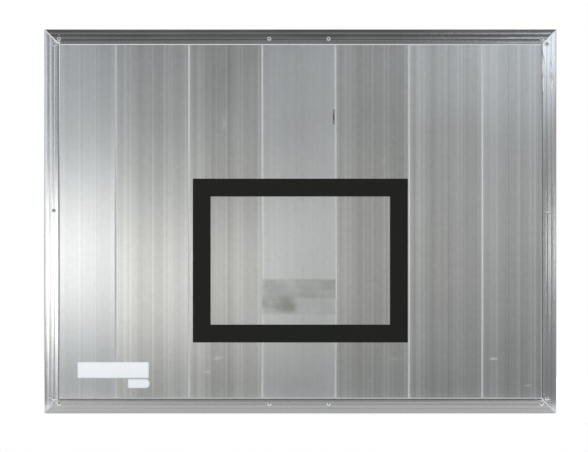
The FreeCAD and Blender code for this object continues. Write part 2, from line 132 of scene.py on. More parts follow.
class PlankFinish(PropertyGroup):
    """Mill finish of the extruded planks."""

    bright: as_colour("Bright", "Cool metal where the die ran smooth", "#E0E5EA")
    bright_warm: as_colour("Bright warm", "Warmer metal where the die ran smooth", "#E3E5E5")
    dull: as_colour("Dull", "Metal along the die's drag lines", "#9C9E9C")
    # Scuffed: the colour of real scuffs and of the painted highlights along the joints
    scuffed_and_highlit: as_colour("Scuffed", "Metal that balls and handling have rubbed", "#F0F1F2")
    roughness: as_share("Roughness", "Mean roughness of the face", 0.3)
    grain: as_share("Grain", "How far highlights spread across the die's lines", 0.7)
    streak_width: as_mm("Streak width", "Width of drag lines, coarser than real", 5)
    streak_length: as_mm("Streak length", "Run of a drag line before it fades", 2500)
    band_width: as_mm("Band width", "Width of broad tone bands", 38)
    cloud_size: as_mm("Cloud size", "Size of the oxide clouding", 160)
    mottle_size: as_mm("Mottle size", "Size of the oxide's mottling", 12)
    # Width of the painted highlight along each joint, laid on matt like rubbed metal
    joint_highlight_width: as_mm("Joint rim", "Width rubbed matt beside a plank joint", 1.6)
    # Residue: the colour of a painted dark reflection across the middle plank
    dark_reflection: as_colour("Residue", "Metal under the old glue", "#8C8E88")
    nick: as_colour("Nick", "Shadow in the nick beside a joint", "#2E2F2C")


class EdgingFinish(PropertyGroup):
    """Mill finish of the reeded edging and the rear rails."""

    bright: as_colour("Bright", "Metal on the crest of a reed", "#DADDE1")
    dull: as_colour("Dull", "Metal along the drag lines", "#A9AAA9")
    roughness: as_share("Roughness", "Mean roughness of the face", 0.185)
    grain: as_share("Grain", "How far highlights spread across the die's lines", 0.25)
    streak_width: as_mm("Streak width", "Width of drag lines, coarser than real", 3)
    streak_length: as_mm("Streak length", "Run of a drag line before it fades", 500)
    # Grime: painted shade in the valleys between reeds and in the groove behind the lip
    valley_shade: as_colour("Grime", "Dirt held in the valleys between reeds", "#5E605E")
    valley_shade_width: as_mm("Grime width", "Width of a line of grime between reeds", 2)
    # Filed: bare filed metal, also the colour of the painted highlights on the lips, two mitres and
    # the right edging
    filed: as_colour("Filed", "Bare metal of a filed mitre edge", "#F4F5F6")
    mitre_ease: as_mm("Mitre ease", "Width of the filed edge along a mitre cut", 1.3)
    reed_count: IntProperty(name="Reed count", description="Reeds on one leg", default=3, min=1)
    reed_start: as_mm("Reed start", "Outer edge to the first reed", 2)
    lip_width: as_mm("Lip width", "Inner lip with its groove", 3.5)
    # The lips' painted highlight: how strong it is along the top and bottom, and how far from the
    # top left corner it reaches and is full on the uprights
    lip_highlight: as_share("Lip wear", "How bright the lips across the board are worn", 0.75)
    highlight_reach: as_mm("Worn reach", "Top left corner to the end of the left lip's wear", 400)
    highlight_full: as_mm("Worn full", "Top left corner to where that wear starts to fade", 100)
    # Size of the long painted highlights on the right edging
    highlight_length: as_mm("Rub length", "Middle to end of a long rub", 30)
    highlight_width: as_mm("Rub width", "Middle to side of a long rub", 4)
    scratched_reach: as_mm("Scratched reach", "How far scratches run from a corner", 32)
    scratch_length: as_mm("Scratch length", "Length of a scratch", 7)
    scratch_width: as_mm("Scratch width", "Width of a scratch", 1.6)


class TargetFilm(PropertyGroup):
    """Calendered vinyl film of the target rectangle."""

    ink: as_colour("Ink", "Black of the film", "#11120F")
    worn: as_colour("Worn", "Film that has been rubbed by balls", "#171814")
    roughness: as_share("Roughness", "Mean roughness of the film", 0.55)
    peel_size: as_mm("Peel size", "Size of the orange peel, coarser than real", 4)
    wear_size: as_mm("Wear size", "Size of the rubbed patches", 60)


class RivetFinish(PropertyGroup):
    """Cold-headed aluminium rivets and their broken steel pins."""

    head: as_colour("Head", "Bright metal of the rivet head", "#ECEDEE")
    mark: as_colour("Mark", "Metal scored by the setting tool", "#B0B2B4")
    head_roughness: as_share("Head roughness", "Mean roughness of a rivet head", 0.38)
    pin: as_colour("Pin", "Dull zinc on the broken pin", "#55575A")
    torn: as_colour("Torn", "Bare steel where the pin broke", "#2E2F31")
    pin_roughness: as_share("Pin roughness", "Mean roughness of a broken pin", 0.45)
    scored: as_share("Scored", "Mean share of metal that is scored", 0.35)
    score_size: as_mm("Score size", "Size of the tool marks", 1.2)


class NutSizes(PropertyGroup):
    """Threaded steel inserts of the rear rails."""

    flange_radius: as_mm("Flange radius", "Radius of the flange behind the rail", 9.5)
    flange: as_mm("Flange", "Thickness of the flange", 1.5)
    barrel_radius: as_mm("Barrel radius", "Radius of the barrel through the rail", 6.5)
    bulb_radius: as_mm("Bulb radius", "Radius of the bulb inside the rail", 8.5)
    bulb_length: as_mm("Bulb length", "Length of the bulb's taper", 4)
    grip: as_mm("Grip", "Wall that the insert is set in", 3)
    length: as_mm("Length", "Whole length of the insert", 15)
    thread_depth: as_mm("Thread depth", "Depth of the thread groove", 0.7)
    pitch: as_mm("Pitch", "Rise of the thread in one turn", 1.5)
    pitch_steps: IntProperty(name="Pitch steps", description="Steps in a pitch", default=6, min=4)
    lead_in: as_mm("Lead-in", "Length of the countersink before the thread", 0.8)
    facets: IntProperty(name="Facets", description="Steps round the thread", default=40, min=12)
    zinc: as_colour("Zinc", "Bright zinc plating", "#C9CCCF")
    passivated: as_colour("Passivated", "Faint yellow of the passivated film", "#B9B7A6")
    bloom_size: as_mm("Bloom size", "Size of the passivation's clouds", 9.5 / 3)
    roughness: as_share("Roughness", "Mean roughness of the plating", 0.35)


class LabelSizes(PropertyGroup):
    """Two blank adhesive labels on the playing face, placed from the board's middle."""

    left: as_mm("Left", "Left end of the long label", -522.4)
    top: as_mm("Top", "Top of the long label", -329.7)
    width: as_mm("Width", "Length of the long label", 167.3)
    height: as_mm("Height", "Height of the long label", 37.9)
    small_left: as_mm("Small left", "Left end of the short label", -404.3)
    small_top: as_mm("Small top", "Top of the short label", -369.5)
    small_width: as_mm("Small width", "Length of the short label", 51.3)
    small_height: as_mm("Small height", "Height of the short label", 21.5)
    corner: as_mm("Corner", "Radius of a cut corner", 0.8)
    thickness: as_mm("Thickness", "Thickness of the film and glue", 0.15)
    crease_depth: as_mm("Crease depth", "How far a label sinks into a plank joint", 0.1)
    crease_width: as_mm("Crease width", "Half width of that crease", 3)
    mesh_step: as_mm("Mesh step", "Spacing of the label's mesh", 1.5)
    white: as_colour("White", "Gloss white film", "#F4F7FA")
    shaded: as_colour("Shaded", "Film where glue has gathered under it", "#EAF0F4")
    margin: as_colour("Margin", "Pale cool margin of a label", "#D9E2F0")
    margin_width: as_mm("Margin width", "Width of that margin", 4)
    glue_size: as_mm("Glue size", "Size of the glue's unevenness", 9)
    roughness: as_share("Roughness", "Mean roughness of the film", 0.3)


class StageSettings(PropertyGroup):
    """Camera, floor and room."""

    distance: as_mm("Distance", "Camera to playing face", 4000)
    framed_width: as_mm("Framed width", "Width of the view on the playing face", 1377.7)
    camera_right: as_mm("Camera right", "Camera from the board's middle", -14.9)
    camera_up: as_mm("Camera up", "Camera from the board's middle", -11)
    floor_front: as_mm("Floor front", "Floor before the board", 220)
    floor_back: as_mm("Floor back", "Floor behind the board", 900)
    floor_side: as_mm("Floor side", "Floor to each side of the middle", 2200)
    paper: as_colour("Paper", "Pale floor paper", "#E1E1E1")
    paper_dull: as_colour("Paper dull", "Floor paper between its fibres", "#DADADA")
    fibre_size: as_mm("Fibre size", "Size of the paper's mottling, coarser than real", 20)
    paper_glow: FloatProperty(name="Paper glow", description="Glow of the floor", default=0.5)
    soft_light: FloatProperty(name="Soft light", description="Even light's strength", default=1.0)
    room_top: as_colour("Room top", "Room overhead", "#A0A0A0")
    room_high: as_colour("Room high", "Room above the camera", "#484848")
    room_middle: as_colour("Room middle", "Room level with the board", "#9D9B98")
    room_low: as_colour("Room low", "Room below the board", "#87898B")
    room_foot: as_colour("Room foot", "Room underfoot", "#F4F4F4")
    room_side: as_colour("Room side", "Room to each side of the board", "#E8E8E8")
    room_back: as_colour("Room back", "Room straight behind the board", "#B8B8B8")
    room_slope: as_share("Room slope", "How much lighter the room grows to the right", 0.7)


def socket_of(sockets, key):
    """Return a socket by its place, or by its name among those in use."""
    if isinstance(key, int):
        return sockets[key]
    return next(socket for socket in sockets if socket.enabled and socket.name == key)


def add_node(tree, kind, inputs=None, stops=(), **settings):
    """Add a shader node with its settings, inputs (values, sockets or nodes) and a ramp's stops."""
    node = tree.nodes.new("ShaderNode" + kind)
    for name, value in settings.items():
        setattr(node, name, value)
    for key, value in (inputs or {}).items():
        socket = socket_of(node.inputs, key)
        if isinstance(value, Node):
            value = next(output for output in value.outputs if output.enabled)
        if isinstance(value, NodeSocket):
            tree.links.new(value, socket)
        else:
            socket.default_value = value
    for place, shade in stops:
        elements = node.color_ramp.elements
        ends = {0: elements[0], 1: elements[-1]}
        stop = ends[place] if place in ends else elements.new(place)
        stop.color = (shade, shade, shade, 1)
    return node


def start_material(name):
    """Return a new material and its empty node tree."""
    material = bpy.data.materials.new(name)
    material.use_nodes = True
    material.node_tree.nodes.clear()
    return material, material.node_tree


def finish_material(material, inputs):
    """Close a material with a Principled shader, and return it."""
    shader = add_node(material.node_tree, "BsdfPrincipled", inputs)
    add_node(material.node_tree, "OutputMaterial", {"Surface": shader})
    return material


def clouds(tree, size, detail=2.0, offset=(0, 0, 0)):
    """Return a noise whose marks have the given size along X, Y and Z, in metres."""
    place = add_node(tree, "TexCoord").outputs["Object"]
    scale = [1 / step for step in size]
    shrunk = add_node(tree, "Mapping", {"Vector": place, "Location": offset, "Scale": scale})
    return add_node(tree, "TexNoise", {"Vector": shrunk, "Scale": 1.0, "Detail": detail})


def weighted_sum(tree, total, *terms):
    """Return a total plus each factor's distance from a half times its weight."""
    for factor, weight in terms:
        centring = {0: factor, 1: weight, 2: -weight / 2}
        centred = add_node(tree, "Math", centring, operation="MULTIPLY_ADD")
        total = add_node(tree, "Math", {0: total, 1: centred}, operation="ADD")
    return total


def layered(tree, colour, *layers):
    """Return a colour with others laid over it, each as far as its mask says."""
    for mask, layer in layers:
        tints = {"Factor": mask, "A": colour, "B": layer}
        colour = add_node(tree, "Mix", tints, data_type="RGBA")
    return colour


def largest(tree, top, *masks):
    """Return the largest of several masks."""
    for mask in masks:
        top = add_node(tree, "Math", {0: mask, 1: top}, operation="MAXIMUM")
    return top


def matted(tree, mask, roughness, rougher, duller):
    """Return the roughness and metallic share of metal that is matt where a mask says."""
    rough = add_node(tree, "Math", {0: mask, 1: rougher, 2: roughness}, operation="MULTIPLY_ADD")
    metallic = add_node(tree, "Math", {0: mask, 1: -duller, 2: 1.0}, operation="MULTIPLY_ADD")
    return rough, metallic


def grain_sizes(axis, width, length):
    """Return the size of a die's mark along X, Y and Z on metal extruded along one axis."""
    sizes = [width, width, width]
    sizes[axis] = length
    return sizes


def line_stops(lines, width, span, plain):
    """Return a ramp's stops for lines of one width, each a place along a span and a shade."""
    stops = []
    for place, shade in lines:
        stops += [(place - width / 2, plain), (place, shade), (place + width / 2, plain)]
    return [(0, plain), *((place / span, shade) for place, shade in stops), (1, plain)]


# Marks that one die left along every plank: place from the left edge in millimetres, and tone
DIE_WAVES = (
    (1, 0.75), (6, 0.55), (13, 0.32), (22.5, 0.76), (31, 0.6), (45, 0.5), (57, 0.24), (75, 0.36),
    (98, 0.3), (113, 0.46), (125, 0.5), (142, 0.42), (156, 0.5), (166, 0.7),
)
DIE_LINES = (
    (35, 0.85), (41, 0.35), (66, 0.65), (87, 0.95), (93.5, 0.25), (115, 0.85), (124, 0.9),
    (129, 0.4), (163, 0.85),
)
DIE_LINE_WIDTH = 2.8  # millimetres
PLAIN_TONE, EDGE_TONE = 0.5, 0.85  # between lines, and at a plank's edges

# Each plank: how light it came out of the press, how deep the die's marks show on it, how cool its
# metal is, how much lighter its left edge is than its right edge and its head than its foot, which
# is painted light that moves its highlight, and how far its face is out of true, in millimetres to
# the front per metre of height
PLANK_TONES = (
    (0.79, 0.3, 0.8, 0.3, -0.2, 8),
    (0.56, 0.5, 0.2, 0.05, 0, -3),
    (0.5, 0.5, 0.1, 0.08, -0.05, -3),
    (0.75, 0.16, 0.6, -0.05, 0, 0),
    (0.44, 0.42, 0.1, 0.1, 0, 0),
    (0.6, 0.52, 0.3, 0.05, 0.3, 0),
    (0.66, 0.62, 0.5, 0.12, 0.4, 0),
)

# How far marks move a plank's tone: streaks and lines as shares of how deep the die's marks show
STREAK_SHARE, LINE_SHARE = 0.75, 1.5
BAND_DEPTH, CLOUD_DEPTH, MOTTLE_DEPTH = 0.24, 0.24, 0.18

# How bright the painted highlight along each joint is, from the left edge of the first plank, and
# how far out it fades, in widths of a rim; it stands for light caught by the planks' rounded edges
JOINT_HIGHLIGHTS = (0.5, 0.32, 0.56, 0.52, 0.44, 0.5, 0.44, 0.5)
JOINT_HIGHLIGHT_FADE = 1.5

# How widely the roughness of each surface varies
PLANK_SPREAD, EDGING_SPREAD, FILM_SPREAD = 0.03, 0.06, 0.12
RIVET_SPREAD, ZINC_SPREAD, LABEL_SPREAD = 0.2, 0.1, 0.1

# Scuffed planks with their painted joint highlights, and edging that is filed, scratched or painted
# with highlights: how much rougher they are, and how much of their mirror they lose
RUB_ROUGHNESS, RUB_DULLING = 0.15, 0.6
FILED_ROUGHNESS, FILED_DULLING = 0.4, 0.7

# Scuffs that balls and handling left on the planks: middle, half the width and half the height in
# millimetres, and depth
SCUFFS = (
    (-178, 233, 9, 19, 0.2),
    (-128, 141, 3, 12, 0.15),
    (-194, -321, 14, 5, 0.35),
    (-217, -353, 9, 5, 0.3),
    (163, -374, 9, 4, 0.25),
    (196, 144, 6, 12, 0.15),
    (222, -323, 18, 6, 0.15),
    (289, -268, 5, 5, 0.25),
    (454, -322, 14, 5, 0.5),
    (533, -385, 12, 4, 0.3),
)

# How ragged a scuff is, and where it starts and is full, as shares of its reach
RAGGEDNESS, SCUFF_START, SCUFF_FULL = 2.0, 0.9, 0.2

# Painted dark reflection on the middle plank, of a figure standing before it: share of its width
# from the left, foot, head and soft edge in millimetres, and depth
DARK_REFLECTIONS = ((1, -216, -138, 4, 0.2), (1, -176, -140, 7, 0.36), (0.42, -206, -184, 12, 0.7))

# Nick at that plank's right edge: inset from the joint, width, foot and head in millimetres
NICK = (2.5, 3, 228, 262)

# Broken patches: size of their islands in metres, the noise at which an island starts and is full,
# and how deep in a plank they end and are full, as shares of its depth
ISLAND_SIZE, ISLAND_START, ISLAND_FULL = (0.05, 0.05, 0.03), 0.15, 0.6
PATCH_END, PATCH_FULL = 0.8, 0.4


def mill_finish_plank(name, joint, tones, joint_highlights, look, patches):
    """Mill-finish extruded aluminium: dull silver, streaked up and down the plank by the die.

    The die leaves fine upright lines that spread a highlight sideways into a band.
    """
    material, tree = start_material(name)
    place = add_node(tree, "TexCoord").outputs["Object"]
    parts = add_node(tree, "SeparateXYZ", {"Vector": place}).outputs
    spans = {"X": (joint, joint + PLANK_COVER), "Z": (BOTTOM_EDGE, CAD_BOX[1].z)}
    across, height = (
        add_node(tree, "MapRange", {"Value": parts[axis], "From Min": low, "From Max": high})
        for axis, (low, high) in spans.items()
    )
    cover = MM * PLANK_COVER
    wave_stops = [(distance / cover, shade) for distance, shade in DIE_WAVES]
    wave_stops = [(0, EDGE_TONE), *wave_stops, (1, EDGE_TONE)]
    waves = add_node(tree, "ValToRGB", {"Fac": across}, wave_stops)
    waves.color_ramp.interpolation = "EASE"
    die_stops = line_stops(DIE_LINES, DIE_LINE_WIDTH, cover, PLAIN_TONE)
    lines = add_node(tree, "ValToRGB", {"Fac": across}, die_stops)

    streak_sizes, band_sizes = (
        grain_sizes(UPRIGHT, width, look.streak_length)
        for width in (look.streak_width, look.band_width)
    )
    # Each plank shows another part of the noise
    streaks = clouds(tree, streak_sizes, detail=1.5, offset=(joint, 0, joint))
    bands = clouds(tree, band_sizes, detail=1.0, offset=(0, 0, 3 * joint))
    cloud = clouds(tree, [look.cloud_size] * 3)
    mottle = clouds(tree, [look.mottle_size] * 3)
    tone, waviness, coolness, painted_side_light, fade, tilt = tones
    die = (waves, waviness), (streaks, STREAK_SHARE * waviness), (lines, LINE_SHARE * waviness)
    oxide = (bands, BAND_DEPTH), (cloud, CLOUD_DEPTH), (mottle, MOTTLE_DEPTH)
    # The side and end terms are painted light that moves each plank's highlight
    shade = weighted_sum(tree, tone, *die, (across, -painted_side_light), (height, fade), *oxide)
    bright = Vector(look.bright_warm).lerp(Vector(look.bright), coolness)

    # Painted highlight along both edges of the plank, standing for light caught at its joints
    rim = look.joint_highlight_width / PLANK_COVER
    faded = JOINT_HIGHLIGHT_FADE * rim
    left_highlight, right_highlight = joint_highlights
    highlight_stops = [(0, left_highlight), (rim, left_highlight), (faded, 0)]
    highlight_stops += [(1 - faded, 0), (1 - rim, right_highlight), (1, right_highlight)]
    marks = [add_node(tree, "ValToRGB", {"Fac": across}, highlight_stops)]
    for x, z, half_width, half_height, depth in SCUFFS:
        middle = Vector((x / MM, PLAYING_FACE, z / MM))
        if joint < middle.x < joint + PLANK_COVER:
            reach = (half_width / MM, half_height / MM, half_height / MM)
            marks.append(scuff_mark(tree, place, middle, reach, depth))
    # Real scuffs together with the painted joint highlights; the name rubbed covers both
    rubbed = largest(tree, *marks)
    layers = [(shade, bright), (rubbed, look.scuffed_and_highlit)]
    layers += [(worn_patch(tree, parts, *patch), stain) for *patch, stain in patches]

    spread = (streaks, PLANK_SPREAD), (cloud, PLANK_SPREAD)
    roughness = weighted_sum(tree, look.roughness, *spread)
    roughness, metallic = matted(tree, rubbed, roughness, RUB_ROUGHNESS, RUB_DULLING)
    tilting = {"Strength": 1.0, "Distance": abs(tilt) / MM, "Height": parts["Z"]}
    leaning = add_node(tree, "Bump", tilting, invert=tilt < 0)
    relief = {"Strength": 0.2, "Distance": 0.0002, "Height": lines, "Normal": leaning}
    return finish_material(material, {
        "Base Color": layered(tree, look.dull, *layers),
        "Metallic": metallic,
        "Roughness": roughness,
        "Anisotropic": look.grain,
        "Normal": add_node(tree, "Bump", relief),
    })


def scuff_mark(tree, place, middle, reach, depth):
    """Return a ragged mark on the playing side that fades out from its middle."""
    offset = add_node(tree, "VectorMath", {0: place, 1: middle}, operation="SUBTRACT")
    scaled = add_node(tree, "VectorMath", {0: offset, 1: reach}, operation="DIVIDE")
    distance = add_node(tree, "VectorMath", {0: scaled}, operation="LENGTH")
    ragged = clouds(tree, reach, detail=3.0)
    broken = weighted_sum(tree, distance, (ragged, RAGGEDNESS))
    span = {"From Min": SCUFF_START, "From Max": SCUFF_FULL, "To Max": depth}
    return add_node(tree, "MapRange", {"Value": broken, **span})


def worn_patch(tree, parts, box, soft, depth):
    """Return a broken patch of the playing face, from its lower left to its upper right corner."""
    (left, bottom), (right, top) = box
    islands = clouds(tree, ISLAND_SIZE)
    span = {"From Min": ISLAND_START, "From Max": ISLAND_FULL, "To Max": depth}
    mask = add_node(tree, "MapRange", {"Value": islands, **span})
    edges = (
        ("X", left - soft, left),
        ("X", right + soft, right),
        ("Y", PLAYING_FACE + PATCH_END * PLANK_DEPTH, PLAYING_FACE + PATCH_FULL * PLANK_DEPTH),
        ("Z", bottom - soft, bottom),
        ("Z", top + soft, top),
    )
    for axis, outside, inside in edges:
        span = {"Value": parts[axis], "From Min": outside, "From Max": inside}
        edge = add_node(tree, "MapRange", span)
        mask = add_node(tree, "Math", {0: mask, 1: edge}, operation="MULTIPLY")
    return mask


# How far streaks, patches and the lip's painted highlight move the edging's tone, how many streaks
# wide a patch is, how many patches long a streak is, and how much of the lip is highlit
EDGING_STREAKS, EDGING_PATCHES, LIP_HIGHLIGHT_BRIGHTNESS = 0.7, 0.6, 0.8
PATCH_STREAKS, STREAK_PATCHES = 8, 3
LIP_HIGHLIT_SHARE = 0.42

# How deep the painted shade lies in the valleys between reeds and in the groove behind the lip
REED_SHADE, LIP_GROOVE_SHADE = 0.4, 0.9

# Middles of the long painted highlights down the right edging's reeds, in millimetres, and their
# depth
RIGHT_EDGING_HIGHLIGHTS = ((568.5, 362), (569.5, 325), (586, 356), (590, 322))
RIGHT_EDGING_HIGHLIGHT_DEPTH = 0.9

# Scratches: their middle as a share of a leg from the corner, how much denser they are there, the
# noise at which one starts and is full, and their depth
SCRATCH_MIDDLE, SCRATCH_GAIN = 0.8, 0.33
SCRATCH_START, SCRATCH_FULL, SCRATCH_DEPTH = 0.82, 0.92, 0.8

# Share of a filed mitre edge's width that is bare
MITRE_BARE = 0.7


def reed_marks(tree, parts, axis, look):
    """Return the painted shade in the valleys across a leg, and where its lip gets a painted
    highlight.
    """
    across, edge = ("X", CAD_BOX[1].x) if axis == UPRIGHT else ("Z", CAD_BOX[1].z)
    start, lip, width = look.reed_start, look.lip_width, look.valley_shade_width
    pitch = (EDGING_LEG - start - lip) / look.reed_count
    # Painted shade in the valleys between reeds and in the groove behind the lip
    lines = [(start + number * pitch, REED_SHADE) for number in range(1, look.reed_count)]
    lines.append((EDGING_LEG - lip + width / 2, LIP_GROOVE_SHADE))
    span = {"Value": parts[across], "From Min": edge, "From Max": edge - EDGING_LEG}
    inward = add_node(tree, "MapRange", span)
    valley_shade = add_node(tree, "ValToRGB", {"Fac": inward}, line_stops(lines, width, EDGING_LEG, 0))
    # Painted highlight on the inner share of the lip; the name rubbed stands for it here
    lip_start = 1 - LIP_HIGHLIT_SHARE * lip / EDGING_LEG
    rubbed = add_node(tree, "Math", {0: inward, 1: lip_start}, operation="GREATER_THAN")
    return valley_shade, rubbed


def mill_finish_edging(name, axis, tone, look, mitred=True):
    """Mill-finish extruded edging: brighter and smoother than the planks, streaked along its run.

    A file has left a bright, matt edge along two of the mitre cuts, painted bright as a highlight
    where light catches them; the lips and long marks on the right edging are painted highlights,
    and the valleys between reeds get painted shade.
    """
    material, tree = start_material(name)
    width, length = look.streak_width, look.streak_length
    streaks = clouds(tree, grain_sizes(axis, width, length), detail=1.5)
    patches = clouds(tree, grain_sizes(axis, PATCH_STREAKS * width, length / STREAK_PATCHES))
    spread = (streaks, EDGING_SPREAD), (patches, EDGING_SPREAD)
    roughness = weighted_sum(tree, look.roughness, *spread)
    metallic = 1.0
    terms = [(streaks, EDGING_STREAKS), (patches, EDGING_PATCHES)]
    layers = []
    if mitred:
        place = add_node(tree, "TexCoord").outputs["Object"]
        folded = add_node(tree, "VectorMath", {0: place}, operation="ABSOLUTE")
        parts = add_node(tree, "SeparateXYZ", {"Vector": folded}).outputs
        valley_shade, lip = reed_marks(tree, parts, axis, look)
        # Painted highlight along the lip
        terms.append((lip, LIP_HIGHLIGHT_BRIGHTNESS))
        tone += LIP_HIGHLIGHT_BRIGHTNESS / 2
        masks = [
            corner_scratches(tree, folded, look),
            filed_mitre_highlight(tree, place, parts, look),
            painted_lip_highlight(tree, place, lip, axis, look),
        ]
        # Painted highlights along the right edging's reeds
        for x, z in RIGHT_EDGING_HIGHLIGHTS if axis == UPRIGHT else ():
            middle = Vector((x / MM, EDGING_FACE, z / MM))
            reach = (look.highlight_width, look.highlight_width, look.highlight_length)
            masks.append(scuff_mark(tree, place, middle, reach, RIGHT_EDGING_HIGHLIGHT_DEPTH))
        # Scratches and filed edges, with the painted highlights on the lips, two mitres and right
        # edging
        filed = largest(tree, *masks)
        layers = [(valley_shade, look.valley_shade), (filed, look.filed)]
        roughness, metallic = matted(tree, filed, roughness, FILED_ROUGHNESS, FILED_DULLING)
    shade = weighted_sum(tree, tone, *terms)
    inputs = {
        "Base Color": layered(tree, look.dull, (shade, look.bright), *layers),
        "Metallic": metallic,
        "Roughness": roughness,
        "Anisotropic": look.grain,
    }
    if axis == ACROSS:
        inputs["Tangent"] = add_node(tree, "Tangent", direction_type="RADIAL", axis="X")
    return finish_material(material, inputs)


def painted_lip_highlight(tree, place, lip, axis, look):
    """Return how far the lip gets a painted highlight: evenly across the board, and at the top
    left.
    """
    wear_and_highlight = look.lip_highlight
    if axis == UPRIGHT:
        corner = CAD_BOX[1].z - CAD_BOX[0].x
        toward = add_node(tree, "VectorMath", {0: place, 1: (-1, 0, 1)}, operation="DOT_PRODUCT")
        start, full = corner - look.highlight_reach, corner - look.highlight_full
        wear_and_highlight = add_node(tree, "MapRange", {"Value": toward, "From Min": start, "From Max": full})
    return add_node(tree, "Math", {0: lip, 1: wear_and_highlight}, operation="MULTIPLY")


def corner_scratches(tree, folded, look):
    """Return scratches that thin out from the corners, where the board is set down and handled."""
    inset = SCRATCH_MIDDLE * EDGING_LEG
    corner = (CAD_BOX[1].x - inset, -EDGING_FACE, CAD_BOX[1].z - inset)
    distance = add_node(tree, "VectorMath", {0: folded, 1: corner}, operation="DISTANCE")
    sizes = (look.scratch_length, look.scratch_width, look.scratch_width)
    scratches = clouds(tree, sizes, detail=1.0)
    span = {"From Min": look.scratched_reach, "From Max": 0.0, "To Max": SCRATCH_GAIN}
    near = add_node(tree, "MapRange", {"Value": distance, **span})
    deep = add_node(tree, "Math", {0: scratches, 1: near}, operation="ADD")
    span = {"From Min": SCRATCH_START, "From Max": SCRATCH_FULL, "To Max": SCRATCH_DEPTH}
    return add_node(tree, "MapRange", {"Value": deep, **span})


def filed_mitre_highlight(tree, place, folded, look):
    """Return one along the top left and bottom right mitre cuts, painted as a highlight, else
    nought.
    """
    lead = CAD_BOX[1].x - CAD_BOX[1].z
    from_x = add_node(tree, "Math", {0: folded["X"], 1: lead}, operation="SUBTRACT")
    apart = add_node(tree, "Math", {0: from_x, 1: folded["Z"]}, operation="SUBTRACT")
    distance = add_node(tree, "Math", {0: apart}, operation="ABSOLUTE")
    reach = look.mitre_ease * math.sqrt(2)
    span = {"Value": distance, "From Min": reach, "From Max": MITRE_BARE * reach}
    near = add_node(tree, "MapRange", span)
    parts = add_node(tree, "SeparateXYZ", {"Vector": place}).outputs
    corner = add_node(tree, "Math", {0: parts["X"], 1: parts["Z"]}, operation="MULTIPLY")
    chosen = add_node(tree, "Math", {0: corner, 1: 0.0}, operation="LESS_THAN")
    return add_node(tree, "Math", {0: near, 1: chosen}, operation="MULTIPLY")


def calendered_black_film(name, look):
    """Calendered vinyl film: flat black with a faint peel, greyer where balls have rubbed it."""
    material, tree = start_material(name)
    wear_and_highlight = clouds(tree, [look.wear_size] * 3, detail=4.0)
    peel = clouds(tree, [look.peel_size] * 3, detail=1.0)
    return finish_material(material, {
        "Base Color": layered(tree, look.ink, (wear_and_highlight, look.worn)),
        "Roughness": weighted_sum(tree, look.roughness, (wear_and_highlight, FILM_SPREAD)),
        "IOR": 1.5,
        "Specular IOR Level": 0.25,
        "Normal": add_node(tree, "Bump", {"Strength": 0.2, "Distance": 0.0001, "Height": peel}),
    })


SCORE_DEPTH = 1.2  # how sharply the marks of the setting tool stand out


def cold_headed_metal(name, light, dark, roughness, look):
    """Cold-headed aluminium or drawn steel: metal with fine scores left by the setting tool."""
    material, tree = start_material(name)
    scores = clouds(tree, [look.score_size] * 3, detail=3.0)
    scored = weighted_sum(tree, look.scored, (scores, SCORE_DEPTH))
    return finish_material(material, {
        "Base Color": layered(tree, light, (scored, dark)),
        "Metallic": 1.0,
        "Roughness": weighted_sum(tree, roughness, (scores, RIVET_SPREAD)),
        "Normal": add_node(tree, "Bump", {"Strength": 0.3, "Distance": 0.0001, "Height": scores}),
    })


def zinc_plated_steel(name, look):
    """Bright zinc plating on turned steel: a blue-white metal with a faint yellow passivation."""
    material, tree = start_material(name)
    bloom = clouds(tree, [look.bloom_size] * 3, detail=3.0)
    return finish_material(material, {
        "Base Color": layered(tree, look.zinc, (bloom, look.passivated)),
        "Metallic": 1.0,
        "Roughness": weighted_sum(tree, look.roughness, (bloom, ZINC_SPREAD)),
    })


def gloss_white_label(name, middle, reach, look):
    """Gloss white vinyl over glue: clean white, faintly uneven where the glue has gathered."""
    material, tree = start_material(name)
    place = add_node(tree, "TexCoord").outputs["Object"]
    offset = add_node(tree, "VectorMath", {0: place, 1: middle}, operation="SUBTRACT")
    folded = add_node(tree, "VectorMath", {0: offset}, operation="ABSOLUTE")
    inward = add_node(tree, "VectorMath", {0: reach, 1: folded}, operation="SUBTRACT")
    parts = add_node(tree, "SeparateXYZ", {"Vector": inward}).outputs
    nearest = add_node(tree, "Math", {0: parts["X"], 1: parts["Z"]}, operation="MINIMUM")
    span = {"Value": nearest, "From Min": look.margin_width, "From Max": 0.0}
    rim = add_node(tree, "MapRange", span)
    glue = clouds(tree, [look.glue_size] * 3)
    layers = (glue, look.shaded), (rim, look.margin)
    return finish_material(material, {
        "Base Color": layered(tree, look.white, *layers),
        "Roughness": weighted_sum(tree, look.roughness, (glue, LABEL_SPREAD)),
        "IOR": 1.5,
        "Normal": add_node(tree, "Bump", {"Strength": 0.2, "Distance": 0.0002, "Height": glue}),
    })


FIBRE_DEPTH, FIBRE_SHARE = 0.1, 0.5  # how far the paper's fibres stand out, and their mean share


def floor_paper(name, stage):
    """Pale seamless paper: keeps soft shadows, and shows white to the camera and in the metal."""
    material, tree = start_material(name)
    fibres = clouds(tree, [stage.fibre_size] * 3, detail=3.0)
    shade = weighted_sum(tree, FIBRE_SHARE, (fibres, FIBRE_DEPTH))
    colour = layered(tree, stage.paper_dull, (shade, stage.paper))
    matte = add_node(tree, "BsdfDiffuse", {"Color": colour})
    glowing = {0: seen_rays(tree), 1: stage.paper_glow}
    strength = add_node(tree, "Math", glowing, operation="MULTIPLY")
    glow = add_node(tree, "Emission", {"Strength": strength})
    both = add_node(tree, "AddShader", {0: matte, 1: glow})
    add_node(tree, "OutputMaterial", {"Surface": both})
    return material


